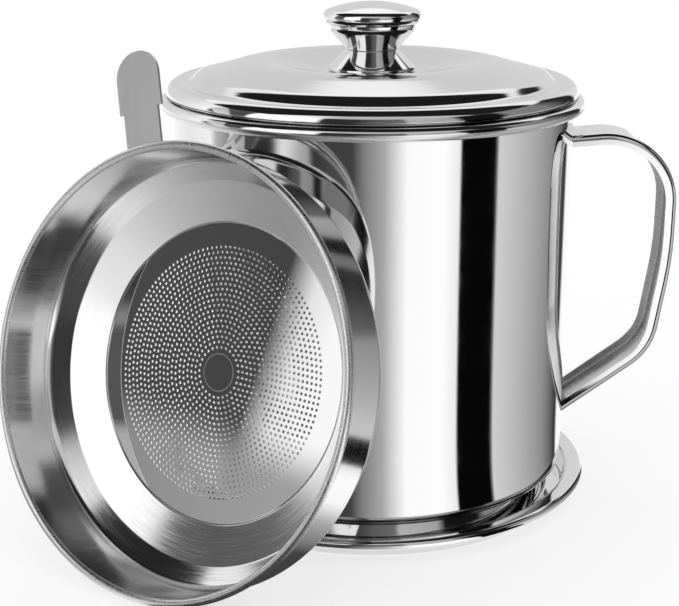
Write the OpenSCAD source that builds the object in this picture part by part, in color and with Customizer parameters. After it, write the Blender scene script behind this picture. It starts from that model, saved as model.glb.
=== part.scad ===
// Stainless steel grease keeper: a drawn pot on a drip tray, a lid with a knob, and a
// lift-out strainer that leans against the pot. Millimetres, +Z up. The origin is on
// the pot's axis, on the surface that the tray stands on, and the handle points along +X.

/* [Pot] */
// Outside diameter of the pot's wall
pot_d = 140; // [120:1:160]
// Thickness of the pot's sheet
pot_sheet = 0.7; // [0.5:0.1:1]
// Height of the pot from its underside to the top of its rolled rim
pot_h = 133.6; // [120:0.1:150]
// Outside radius of the corner between the pot's wall and its bottom
pot_corner_r = 4.7; // [3:0.1:8]
// Outside radius of the rolled rim
rim_r = 2.2; // [1.8:0.1:2.6]
// How far the rim's sheet is rolled round, in degrees
rim_turn = 280; // [230:5:290]

/* [Tray] */
// Outside diameter of the tray's flange
tray_d = 156.8; // [155:0.1:162]
// Thickness of the tray's sheet
tray_sheet = 0.6; // [0.5:0.1:0.8]
// Height of the platform that carries the pot
platform_h = 9; // [6:0.1:11]
// Diameter of that platform
platform_d = 122; // [110:1:124]
// Height of the flange's upper face
flange_h = 8.3; // [7:0.1:11]
// Width of the flange's flat part
flange_w = 4.4; // [2:0.1:4.8]
// Outside radius of the flange's rolled edge
flange_roll_r = 1.7; // [1.4:0.1:2]
// Width of the gutter's floor, on which the tray stands
gutter_w = 6; // [4:0.1:7]

/* [Lid] */
// Outside diameter of the lid's edge
lid_d = 143; // [142:0.1:146]
// Thickness of the lid's sheet
lid_sheet = 0.6; // [0.5:0.1:0.8]
// Gap between the rim's crest and the lid that rests on it
lid_gap = 0.3; // [0.2:0.05:0.5]
// Height of the lid's ledge above the rim's crest
ledge_h = 5.5; // [4.5:0.1:7]
// Height of the crown's crest above the rim's crest
crown_h = 11.7; // [9.5:0.1:15]
// Diameter of the crown's crest
crown_d = 80; // [76:1:88]
// Slope from the dish up to the crest, in degrees
crown_rise = 11; // [9:0.5:14]
// Slope from the crest down towards the edge, in degrees
crown_fall = 14; // [10:0.5:18]
// Radius of the crest's curve
crown_r = 35; // [20:1:40]
// Height of the dished centre above the rim's crest
dish_h = 7.8; // [6.5:0.1:9]
// Diameter of the crown's foot, where it steps down to the ledge
crown_foot_d = 120.5; // [116:0.5:123]
// Clearance between the lid's locating lip and the pot's wall
lip_gap = 0.7; // [0.4:0.1:1.2]
// Depth that the locating lip reaches into the mouth
lip_depth = 4; // [3:0.1:6]

/* [Knob] */
// Largest diameter of the knob's foot
knob_foot_d = 31.6; // [29:0.1:33]
// Diameter of the knob's waist
knob_waist_d = 18; // [17:0.1:20]
// Height of the waist above the dish
knob_waist_h = 7.4; // [6.5:0.1:9]
// Diameter of the mouth of the knob's cup, under its cap
knob_mouth_d = 30; // [28:0.1:32]
// Height of the seam between the cup and the cap, above the dish
knob_seam_h = 16.1; // [15:0.1:18]
// Largest diameter of the knob's cap
knob_cap_d = 34; // [33:0.1:36]
// Radius of the cap's edge
knob_cap_r = 2.5; // [2:0.1:3.2]
// Slope of the cap's dome where it meets the edge, in degrees
knob_dome = 20; // [12:1:28]
// Thickness of the knob's sheet
knob_sheet = 0.8; // [0.6:0.1:1]
// Diameter of the knob's screw
screw_d = 4; // [3:0.5:5]
// Clearance round the screw in each hole that it passes through
screw_gap = 0.2; // [0.1:0.05:0.3]
// Clearance between the screw and the nut's bore
nut_gap = 0.05; // [0.03:0.01:0.1]
// Thickness of the nut
nut_h = 3.2; // [2.5:0.1:4]
// Width of the nut across its flats
nut_w = 7; // [6.5:0.1:8]
// Diameter of the washer
washer_d = 12; // [10:0.5:14]
// Thickness of the washer
washer_t = 0.8; // [0.6:0.1:1.2]
// Diameter of the screw's head
head_d = 8; // [7:0.1:9]
// Height of the screw's head
head_h = 2.4; // [2:0.1:3]

/* [Handle] */
// Width of the handle's strip
handle_w = 21; // [16:0.5:24]
// Depth of the handle's flanks
handle_depth = 3.8; // [3:0.1:5]
// Thickness of the handle's sheet
handle_sheet = 0.9; // [0.7:0.1:1.2]
// Distance from the pot's wall to the grip's outer face
handle_reach = 36.3; // [32:0.1:45]
// Height of the handle's upper arm above the pot's underside, at the wall
handle_top = 120.4; // [110:0.1:124]
// Rise of the upper arm over its length
handle_rise = 3.2; // [0:0.1:5]
// Height of the handle's lower end above the pot's underside, at the wall
handle_foot = 19.4; // [16:0.1:30]
// Height of the lower corner above the pot's underside
handle_knee = 42.6; // [36:0.1:50]
// How far the lower corner is drawn in from the grip
handle_tuck = 5.2; // [2:0.1:8]
// Height above the pot's underside at which the grip starts to lean in
handle_lean = 77; // [65:1:85]
// Radius of the upper corner
handle_top_r = 25; // [15:1:28]
// Radius of the grip's gentle bend
handle_grip_r = 120; // [60:5:150]
// Radius of the lower corner
handle_knee_r = 22; // [12:1:26]

/* [Strainer] */
// Largest diameter of the strainer's bead
bead_d = 141.9; // [141:0.1:146]
// Outside radius of the strainer's rolled bead
bead_r = 1.4; // [1.2:0.1:1.8]
// How far the bead's sheet is rolled round, in degrees
bead_turn = 290; // [230:5:300]
// Thickness of the strainer's sheet
strainer_sheet = 0.7; // [0.5:0.1:0.8]
// Height of the bead's middle above the filter plate
strainer_h = 27.5; // [24:0.5:36]
// Outside diameter of the wall at its foot
wall_foot_d = 136.8; // [134:0.1:137.4]
// Height of the wall's foot above the filter plate
wall_foot_h = 9; // [8:0.1:12]
// Radius of the corner at the wall's foot
wall_foot_r = 4; // [2:0.1:5]
// Diameter of the crease between the ledge and the cone
crease_d = 122.4; // [118:0.1:124]
// Height of that crease above the filter plate
crease_h = 4.6; // [3.5:0.1:5]
// Diameter of the opening that holds the filter plate
plate_seat_d = 96.6; // [90:0.1:100]
// Width of the lip under the filter plate's edge
plate_lip = 4; // [3:0.1:6]
// Clearance round the edge of the filter plate
plate_gap = 0.3; // [0.2:0.05:0.5]
// Thickness of the filter plate
plate_t = 0.5; // [0.4:0.1:0.8]
// Diameter of the holes
hole_d = 1.4; // [1:0.1:1.6]
// Distance between the rings of holes
hole_ring_pitch = 2.46; // [2.4:0.02:3.2]
// Distance between the holes along a ring
hole_pitch = 2.7; // [2.6:0.02:3.4]
// Radius of the innermost ring of holes, round the plain centre
hole_first_r = 8.1; // [7:0.1:12]
// Width of the plain edge round the holes
hole_margin = 7; // [6:0.1:12]

/* [Tab] */
// Reach of the tab beyond the strainer's bead
tab_reach = 31; // [24:0.1:36]
// Width of the tab's head
tab_head_w = 17.3; // [16:0.1:22]
// Width of the tab's neck
tab_neck_w = 14.1; // [12:0.1:16]
// Length of the neck beyond the bead
tab_neck_l = 12; // [8:0.1:16]
// Radius of the head's corners
tab_corner_r = 8.2; // [6:0.1:8]
// Thickness of the tab
tab_sheet = 0.9; // [0.7:0.1:1.2]
// Length of the tab's leg, which is welded to the wall
tab_leg = 8; // [6:0.1:10]
// Gap between the tab and the bead above it
tab_bead_gap = 1.6; // [1.3:0.1:3]
// Angle of the tab round the strainer, from its highest point
tab_angle = 19.4; // [0:0.1:60]

/* [Leaning place] */
// Direction that the leaning strainer faces, from the front towards the left
lean_turn = 35; // [0:0.5:60]
// Tilt of the strainer's axis above level
lean_tilt = 15.7; // [12:0.1:24]
// Gap between the strainer and the pot's wall that it leans on
lean_gap = 0.35; // [0.2:0.05:1]
// Height of the strainer's lowest point
lean_rest = 0.25; // [0:0.05:0.5]

/* [Hidden] */
$fn = 96;

// The largest turn between two points of a rounded stretch, in degrees
arc_step = 9;
// The same for the handle's wide bends
bend_step = 3;
// How far a cutting solid passes the face that it cuts
pass = 1;

pot_r = pot_d / 2;
pot_inner_r = pot_r - pot_sheet;
rim_top = platform_h + pot_h;
rim_mid_r = rim_r - pot_sheet / 2;
pot_wall = pot_r - pot_sheet / 2;

// The drip tray, along the middle of its sheet
tray_roll_mid_r = flange_roll_r - tray_sheet / 2;
tray_roll_turn = 240;
tray_roll_x = tray_d / 2 - flange_roll_r;
flange_inner = tray_roll_x - flange_w;
gutter_slope = 1.3;
gutter_outer = flange_inner - gutter_slope;
gutter_inner = gutter_outer - gutter_w;
tray_bend_r = 1.5;
platform_bend_r = 2;

// The lid, along the middle of its sheet
hole_r = screw_d / 2 + screw_gap;
dish_z = rim_top + dish_h - lid_sheet / 2;
crest_z = rim_top + crown_h - lid_sheet / 2;
crown_in = crown_d / 2 - crown_r * tan(crown_rise / 2);
crown_out = crown_d / 2 + crown_r * tan(crown_fall / 2);
crown_apex = (crown_in * tan(crown_rise) + crown_out * tan(crown_fall)) / (tan(crown_rise) + tan(crown_fall));
crown_apex_z = crest_z + (crown_apex - crown_in) * tan(crown_rise);
dish_edge = crown_in - (crest_z - dish_z) / tan(crown_rise);
crown_foot = crown_foot_d / 2;
crown_foot_z = crest_z - (crown_foot - crown_out) * tan(crown_fall);
ledge_bend_w = 3;
ledge_in = crown_foot + ledge_bend_w;
ledge_z = rim_top + ledge_h - lid_sheet / 2;
ledge_dip = 0.7;
lid_wall = lid_d / 2 - lid_sheet / 2;
lid_under_z = rim_top + lid_gap + lid_sheet / 2;
lip_wall = pot_r - pot_sheet - lip_gap - lid_sheet / 2;
dish_bend_r = 20;
crown_foot_r = 6;
ledge_in_r = 2.5;
shoulder_r = 3.9;
lid_fold_r = 0.6;

// The knob, above the lid's dish
dish_top = rim_top + dish_h;
waist_z = dish_top + knob_waist_h;
seam_z = dish_top + knob_seam_h;
knob_hem_w = 2.4;
knob_hem_r = 0.6;
waist_bend_r = 0.6;
cup_curve_r = 3;
cup_shoulder = 1.6;
cap_lip_w = 1.1;
cap_edge_mid_r = knob_cap_r - knob_sheet / 2;
cap_edge_x = knob_cap_d / 2 - knob_sheet / 2 - cap_edge_mid_r * (1 - sin(knob_dome));
cap_dome_r = cap_edge_x / sin(knob_dome);
cap_lip_z = seam_z + knob_sheet / 2;
cap_top_z = cap_lip_z + cap_edge_mid_r * (1 + cos(knob_dome)) + cap_dome_r * (1 - cos(knob_dome));
nut_z = waist_z + knob_sheet;
head_z = dish_top - lid_sheet - washer_t - head_h;
head_edge_r = 1;
thread_over = 1.2;
slot_l = 4.4;
slot_w = 0.9;
slot_depth = 1.4;

// The handle's outer face: its corners, from the upper weld to the lower one. Its ends
// run on inside the wall, where the wall's outside cuts them off.
handle_in = 10;
handle_start = pot_r - handle_in;
grip_x = pot_r + handle_reach;
upper_slope = handle_rise / handle_reach;
lower_slope = (handle_knee - handle_foot) / (handle_reach - handle_tuck);
handle_corners = [
  [handle_start, platform_h + handle_top - handle_in * upper_slope],
  [grip_x, platform_h + handle_top + handle_rise],
  [grip_x, platform_h + handle_lean],
  [grip_x - handle_tuck, platform_h + handle_knee],
  [handle_start, platform_h + handle_foot - handle_in * lower_slope]
];
handle_radii = [handle_top_r, handle_grip_r, handle_knee_r];

// The strainer, along the middle of its sheet, above the filter plate's upper face
seat_r = plate_seat_d / 2;
seat_bend_r = 0.5;
seat_x = seat_r + strainer_sheet / 2;
seat_z = -plate_t - strainer_sheet / 2;
// The seat's upper edge stands a little above the filter plate
seat_edge_h = 0.05;
crease_r = 3;
// The crease is measured on the upper face, and the route's corner lies below it
crease_shift_x = 0.2;
crease_shift_z = 0.45;
crease_x = crease_d / 2 + strainer_sheet * crease_shift_x;
crease_z = crease_h - strainer_sheet * crease_shift_z;
bead_mid_r = bead_r - strainer_sheet / 2;
bead_x = bead_d / 2 - bead_r;
wall_foot_x = wall_foot_d / 2 - strainer_sheet / 2;
wall_top_x = bead_x - bead_mid_r;
bowl_wall = [[wall_foot_x, wall_foot_h], [wall_top_x, strainer_h]];
plate_r = seat_r - plate_gap;
hole_rings = 1 + floor((plate_r - hole_margin - hole_d / 2 - hole_first_r) / hole_ring_pitch);

// The tab
tab_z = strainer_h - bead_r - tab_bead_gap - tab_sheet / 2;
tab_tip = bead_d / 2 + tab_reach;
tab_off = (strainer_sheet + tab_sheet) / 2;
tab_bend_r = 1.2;

// Where the strainer stands: its wall's foot is on the ground, and the edge round its
// filter plate leans on the pot's wall
foot_turn = 90 - atan2(wall_foot_h - crease_z, wall_foot_x - crease_x);
foot_outer_r = wall_foot_r + strainer_sheet / 2;
foot_centre_x = wall_foot_x - wall_foot_r;
foot_centre_z = wall_foot_h + wall_foot_r * tan(foot_turn / 2);
seat_reach = (seat_x - seat_bend_r) * sin(lean_tilt) - (seat_z + seat_bend_r) * cos(lean_tilt)
             + seat_bend_r + strainer_sheet / 2;
lean_r = pot_r + lean_gap + seat_reach;
lean_z = lean_rest + foot_outer_r + foot_centre_x * cos(lean_tilt) - foot_centre_z * sin(lean_tilt);

// ---- Bent sheet ----
// A sheet is drawn from its route: stations [x, y, heading] along the middle of the sheet.

// Direction from a to b
function heading(a, b) = atan2(b[1] - a[1], b[0] - a[0]);

// The shorter turn from one heading to another, positive to the left
function turn(from, to) = (to - from) - 360 * round((to - from) / 360);

// Stations of a roll of radius r, from the point p, that turns by the given angle.
// The first station is the route's last one, so it is left out.
function roll(p, from, r, angle, step = arc_step) =
  let (s = sign(angle), n = ceil(abs(angle) / step),
       cx = p[0] - s * r * sin(from), cy = p[1] + s * r * cos(from))
  [for (i = [1 : n]) let (h = from + angle * i / n) [cx + s * r * sin(h), cy - s * r * cos(h), h]];

// Stations round the corner b with radius r, on the way from a to c
function corner(a, b, c, r, step) =
  let (from = heading(a, b), angle = turn(from, heading(b, c)), l = r * tan(abs(angle) / 2),
       p = [b[0] - l * cos(from), b[1] - l * sin(from)])
  concat([[p[0], p[1], from]], roll(p, from, r, angle, step));

// Stations along a path of corners: one radius for each corner between its ends
function bent(points, radii, step = arc_step) =
  let (n = len(points) - 1)
  concat([[points[0][0], points[0][1], heading(points[0], points[1])]],
         [for (i = [1 : n - 1]) each corner(points[i - 1], points[i], points[i + 1], radii[i - 1], step)],
         [[points[n][0], points[n][1], heading(points[n - 1], points[n])]]);

// A route that goes on with a roll from its last station
function rolled(route, r, angle) =
  let (p = route[len(route) - 1])
  concat(route, roll(p, p[2], r, angle));

// A route that goes on straight for the length l
function straight(route, l) =
  let (p = route[len(route) - 1])
  concat(route, [[p[0] + l * cos(p[2]), p[1] + l * sin(p[2]), p[2]]]);

// One face of the sheet, at the distance d to the left of the route
function face(route, d) = [for (p = route) [p[0] - d * sin(p[2]), p[1] + d * cos(p[2])]];
function reversed(v) = [for (i = [len(v) - 1 : -1 : 0]) v[i]];

module sheet(route, t) {
  polygon(concat(face(route, t / 2), reversed(face(route, -t / 2))));
}

module spun_sheet(route, t) {
  rotate_extrude() sheet(route, t);
}

// ---- Tray and pot ----

module drip_tray() {
  flat = bent([[0, platform_h - tray_sheet / 2],
               [platform_d / 2, platform_h - tray_sheet / 2],
               [gutter_inner, tray_sheet / 2],
               [gutter_outer, tray_sheet / 2],
               [flange_inner, flange_h - tray_sheet / 2],
               [tray_roll_x, flange_h - tray_sheet / 2]],
              [platform_bend_r, tray_bend_r, tray_bend_r, tray_bend_r]);
  color("gainsboro") spun_sheet(rolled(flat, tray_roll_mid_r, -tray_roll_turn), tray_sheet);
}

module pot_body() {
  cup = bent([[0, platform_h + pot_sheet / 2],
              [pot_wall, platform_h + pot_sheet / 2],
              [pot_wall, rim_top - rim_r]],
             [pot_corner_r - pot_sheet / 2]);
  color("lightgray") spun_sheet(cup, pot_sheet);
}

// The pot's rolled edge goes on from the top of its wall
module pot_rim() {
  color("lightgray") spun_sheet(rolled([[pot_wall, rim_top - rim_r, 90]], rim_mid_r, -rim_turn), pot_sheet);
}

// ---- Handle ----

// A solid as wide as given, whose side view lies between two depths under the outer face
module strip(route, wide, near, far) {
  rotate([90, 0, 0]) linear_extrude(wide, center = true)
    polygon(concat(face(route, -near), reversed(face(route, -far))));
}

// A strip with its two edges folded in, so it is a channel that opens towards the pot
module pot_handle() {
  route = bent(handle_corners, handle_radii, bend_step);
  color("white") difference() {
    strip(route, handle_w, 0, handle_depth);
    strip(route, handle_w - 2 * handle_sheet, handle_sheet, handle_depth + pass);
    cylinder(r = pot_r, h = rim_top);
  }
}

// ---- Lid ----

module lid_shell() {
  route = bent([[hole_r, dish_z],
                [dish_edge, dish_z],
                [crown_apex, crown_apex_z],
                [crown_foot, crown_foot_z],
                [ledge_in, ledge_z - ledge_dip],
                [lid_wall, ledge_z],
                [lid_wall, lid_under_z],
                [lip_wall, lid_under_z],
                [lip_wall, rim_top - lip_depth]],
               [dish_bend_r, crown_r, crown_foot_r, ledge_in_r, shoulder_r, lid_fold_r, lid_fold_r]);
  color("gainsboro") spun_sheet(route, lid_sheet);
}

// ---- Knob ----

module knob_skirt() {
  foot = knob_foot_d / 2;
  route = bent([[hole_r, waist_z - knob_sheet / 2],
                [knob_waist_d / 2 - knob_sheet / 2, waist_z - knob_sheet / 2],
                [foot, dish_top + knob_sheet / 2],
                [foot - knob_hem_w, dish_top + knob_sheet / 2]],
               [waist_bend_r, knob_hem_r]);
  color("silver") spun_sheet(route, knob_sheet);
}

module knob_cup() {
  mouth = knob_mouth_d / 2 - knob_sheet / 2;
  route = bent([[hole_r, waist_z + knob_sheet / 2],
                [knob_waist_d / 2 - knob_sheet / 2, waist_z + knob_sheet / 2],
                [mouth, seam_z - cup_shoulder],
                [mouth, seam_z]],
               [waist_bend_r, cup_curve_r]);
  color("silver") spun_sheet(route, knob_sheet);
}

module knob_cap() {
  dome = rolled([[0, cap_top_z, 0]], cap_dome_r, -knob_dome);
  route = straight(rolled(dome, cap_edge_mid_r, knob_dome - 180), cap_lip_w);
  color("whitesmoke") spun_sheet(route, knob_sheet);
}

// The screw stands on its head; its end is past the nut
module knob_screw() {
  head = concat([[0, 0]],
                [for (a = [-90 : 15 : 0])
                   [head_d / 2 - head_edge_r * (1 - cos(a)), head_edge_r * (1 + sin(a))]],
                [[head_d / 2, head_h], [0, head_h]]);
  shank_l = nut_z + nut_h + thread_over - head_z;
  color("silver") translate([0, 0, head_z]) difference() {
    union() {
      rotate_extrude() polygon(head);
      cylinder(d = screw_d, h = shank_l);
    }
    for (a = [0, 90])
      rotate([0, 0, a]) translate([-slot_l / 2, -slot_w / 2, -pass])
        cube([slot_l, slot_w, slot_depth + pass]);
  }
}

module knob_washer() {
  color("silver") translate([0, 0, dish_top - lid_sheet - washer_t]) difference() {
    cylinder(d = washer_d, h = washer_t);
    translate([0, 0, -pass]) cylinder(r = hole_r, h = washer_t + 2 * pass);
  }
}

module knob_nut() {
  color("silver") translate([0, 0, nut_z]) difference() {
    cylinder(r = nut_w / sqrt(3), h = nut_h, $fn = 6);
    translate([0, 0, -pass]) cylinder(r = screw_d / 2 + nut_gap, h = nut_h + 2 * pass);
  }
}

// ---- Strainer ----
// Its pieces are drawn with the filter plate's upper face at z = 0 and the bead above it,
// and then stood against the pot.

module leaning() {
  rotate([0, 0, -lean_turn])
    translate([0, -lean_r, lean_z])
    rotate([90 - lean_tilt, 0, 0])
    children();
}

module strainer_bowl() {
  route = bent([[seat_r - plate_lip, seat_z],
                [seat_x, seat_z],
                [seat_x, seat_edge_h],
                [crease_x, crease_z],
                bowl_wall[0],
                bowl_wall[1]],
               [seat_bend_r, seat_bend_r, crease_r, wall_foot_r]);
  color("lightgray") leaning() spun_sheet(rolled(route, bead_mid_r, -bead_turn), strainer_sheet);
}

// Rings of holes round a plain centre: each ring has as many as fit at the same spacing
module filter_disc() {
  color("darkgray") leaning() translate([0, 0, -plate_t]) linear_extrude(plate_t) difference() {
    circle(plate_r);
    for (i = [0 : hole_rings - 1])
      let (r = hole_first_r + i * hole_ring_pitch, n = round(2 * PI * r / hole_pitch))
        for (k = [0 : n - 1])
          rotate(360 * k / n) translate([r, 0]) circle(d = hole_d, $fn = 16);
  }
}

// Outline of the tab, from the strainer's middle outwards along +Y
module tab_outline() {
  shoulder = bead_d / 2 + tab_neck_l;
  corner_x = tab_head_w / 2 - tab_corner_r;
  translate([-tab_neck_w / 2, bead_x / 2]) square([tab_neck_w, shoulder - bead_x / 2 + tab_corner_r]);
  translate([-tab_head_w / 2, shoulder]) square([tab_head_w, tab_tip - tab_corner_r - shoulder]);
  translate([-corner_x, shoulder]) square([2 * corner_x, tab_tip - shoulder]);
  for (s = [-1, 1])
    translate([s * corner_x, tab_tip - tab_corner_r]) circle(tab_corner_r);
}

// The leg follows the bowl's wall, and the tongue bends out under the bead
module strainer_tab() {
  slope = heading(bowl_wall[0], bowl_wall[1]);
  side = function (z) bowl_wall[0][0] + (z - bowl_wall[0][1]) / tan(slope) + tab_off / sin(slope);
  route = bent([[side(tab_z - tab_leg), tab_z - tab_leg],
                [side(tab_z), tab_z],
                [tab_tip + pass, tab_z]],
               [tab_bend_r]);
  color("darkgray") leaning() rotate([0, 0, tab_angle]) intersection() {
    spun_sheet(route, tab_sheet);
    linear_extrude(strainer_h) tab_outline();
  }
}

drip_tray();
pot_body();
pot_rim();
pot_handle();
lid_shell();
knob_skirt();
knob_cup();
knob_cap();
knob_screw();
knob_washer();
knob_nut();
strainer_bowl();
filter_disc();
strainer_tab();
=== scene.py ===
"""Dressed scene of a stainless steel grease keeper.

A drawn pot stands on a drip tray under a lid with a spun knob, and its lift-out strainer
leans on the pot's front left. The spun and folded sheets are rebuilt here with exact
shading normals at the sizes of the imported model, because polished steel shows every
facet, and each of them stands for its own node. Sizes are in millimetres until a mesh
is made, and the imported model's frame is kept: +Z up, the handle along +X.
"""

import logging
import math
from dataclasses import dataclass, field
from enum import Enum
from typing import Callable, Iterable, Sequence

import bpy
from mathutils import Matrix, Vector
from mathutils.geometry import delaunay_2d_cdt


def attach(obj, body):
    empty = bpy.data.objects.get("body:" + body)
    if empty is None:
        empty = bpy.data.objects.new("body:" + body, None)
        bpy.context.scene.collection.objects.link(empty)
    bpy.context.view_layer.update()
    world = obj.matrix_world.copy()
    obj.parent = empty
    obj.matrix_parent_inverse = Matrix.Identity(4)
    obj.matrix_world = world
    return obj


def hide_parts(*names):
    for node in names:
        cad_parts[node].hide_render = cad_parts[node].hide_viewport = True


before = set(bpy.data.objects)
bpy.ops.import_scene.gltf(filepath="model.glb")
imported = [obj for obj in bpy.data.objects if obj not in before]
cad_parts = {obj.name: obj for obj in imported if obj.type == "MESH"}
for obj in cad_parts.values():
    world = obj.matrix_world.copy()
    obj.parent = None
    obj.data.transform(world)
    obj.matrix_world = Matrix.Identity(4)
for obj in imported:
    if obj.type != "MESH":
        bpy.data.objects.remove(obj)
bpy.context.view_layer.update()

log = logging.getLogger("grease_keeper")

MM = 0.001
Point2 = tuple[float, float]
Point3 = tuple[float, float, float]
UPRIGHT_PLACE = "upright_place"
WAY_ROUND = "way_round"


# ---- Colour and nodes ----


def linear(hex_colour: str) -> tuple[float, float, float, float]:
    """Turns an sRGB hex value such as "#D8D8DA" to linear RGBA.

    Args:
        hex_colour: The colour, as six hex digits after a hash.

    Returns:
        Red, green, blue and alpha, each from 0 to 1.
    """
    channels = [int(hex_colour[i : i + 2], 16) / 255 for i in (1, 3, 5)]
    red, green, blue = (
        c / 12.92 if c <= 0.04045 else ((c + 0.055) / 1.055) ** 2.4 for c in channels
    )
    return red, green, blue, 1.0


def add(
    tree: bpy.types.NodeTree,
    kind: str,
    settings: dict[str, object] | None = None,
    inputs: dict[str | int, object] | None = None,
) -> bpy.types.Node:
    """Adds a node with its settings, and fills or links its inputs.

    Args:
        tree: The material's or world's node tree.
        kind: The node's type name in Blender.
        settings: Properties of the node itself.
        inputs: Values or output sockets, by the input's name or number.

    Returns:
        The new node.
    """
    node = tree.nodes.new(kind)
    for name, value in (settings or {}).items():
        setattr(node, name, value)
    for name, value in (inputs or {}).items():
        socket = node.inputs[name]
        if isinstance(value, bpy.types.NodeSocket):
            tree.links.new(value, socket)
        else:
            socket.default_value = value
    return node


def kept_on_mesh(tree: bpy.types.NodeTree, label: str) -> bpy.types.NodeSocket:
    """Reads what a leaning piece's mesh keeps under a name.

    Args:
        tree: The material's node tree.
        label: The name.

    Returns:
        The vector's socket.
    """
    return add(tree, "ShaderNodeAttribute", {"attribute_name": label}).outputs["Vector"]


def empty_material(name: str) -> bpy.types.Material:
    """Makes a material with nothing in its node tree but an output.

    Args:
        name: The material's name.

    Returns:
        The material.
    """
    material = bpy.data.materials.new(name)
    material.use_nodes = True
    material.node_tree.nodes.clear()
    material.node_tree.nodes.new("ShaderNodeOutputMaterial")
    return material


def show(material: bpy.types.Material, shader: bpy.types.NodeSocket) -> None:
    """Links a shader to the material's output.

    Args:
        material: The material.
        shader: The shader's socket.
    """
    tree = material.node_tree
    output = next(n for n in tree.nodes if n.type == "OUTPUT_MATERIAL")
    tree.links.new(shader, output.inputs["Surface"])


# ---- Finishes ----


class Grain(Enum):
    """Which way the fine lines of a worked sheet run."""

    ROUND = "round the axis, as a lathe or a spinning wheel leaves them"
    ACROSS = "along the axis, as emery drawn up a wall leaves them"
    ALONG = "straight along one direction, as a belt leaves them"


@dataclass(frozen=True)
class PolishedSteel:
    """304 stainless steel sheet, drawn and buffed to a mirror.

    The buff leaves hardly any grain, so the eye sees sharp dark and white bands, and the
    drawn sheet's slow waves keep those bands from being ruled straight.
    """

    name: str
    colour: str = "#EAEAEA"
    roughness: float = 0.04
    haze: float = 0.035
    wave_mm: float = 70.0
    wave_depth_mm: float = 0.003
    haze_mm: float = 9.0

    def material(self) -> bpy.types.Material:
        """Builds the finish's material."""
        material = empty_material(self.name)
        tree = material.node_tree
        place = add(tree, "ShaderNodeTexCoord").outputs["Object"]
        wave = add(
            tree,
            "ShaderNodeTexNoise",
            {},
            {"Vector": place, "Scale": 1 / (self.wave_mm * MM), "Detail": 1.0},
        )
        bump = add(
            tree,
            "ShaderNodeBump",
            {},
            {
                "Height": wave.outputs["Fac"],
                "Distance": self.wave_depth_mm * MM,
                "Strength": 1.0,
            },
        )
        cloud = add(
            tree,
            "ShaderNodeTexNoise",
            {},
            {"Vector": place, "Scale": 1 / (self.haze_mm * MM), "Detail": 5.0},
        )
        rough = add(
            tree,
            "ShaderNodeMapRange",
            {},
            {
                "Value": cloud.outputs["Fac"],
                "From Min": 0.35,
                "From Max": 0.75,
                "To Min": self.roughness,
                "To Max": self.roughness + self.haze,
            },
        )
        shader = add(
            tree,
            "ShaderNodeBsdfPrincipled",
            {},
            {
                "Base Color": linear(self.colour),
                "Metallic": 1.0,
                "Roughness": rough.outputs["Result"],
                "Normal": bump.outputs["Normal"],
            },
        )
        show(material, shader.outputs["BSDF"])
        return material


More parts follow.
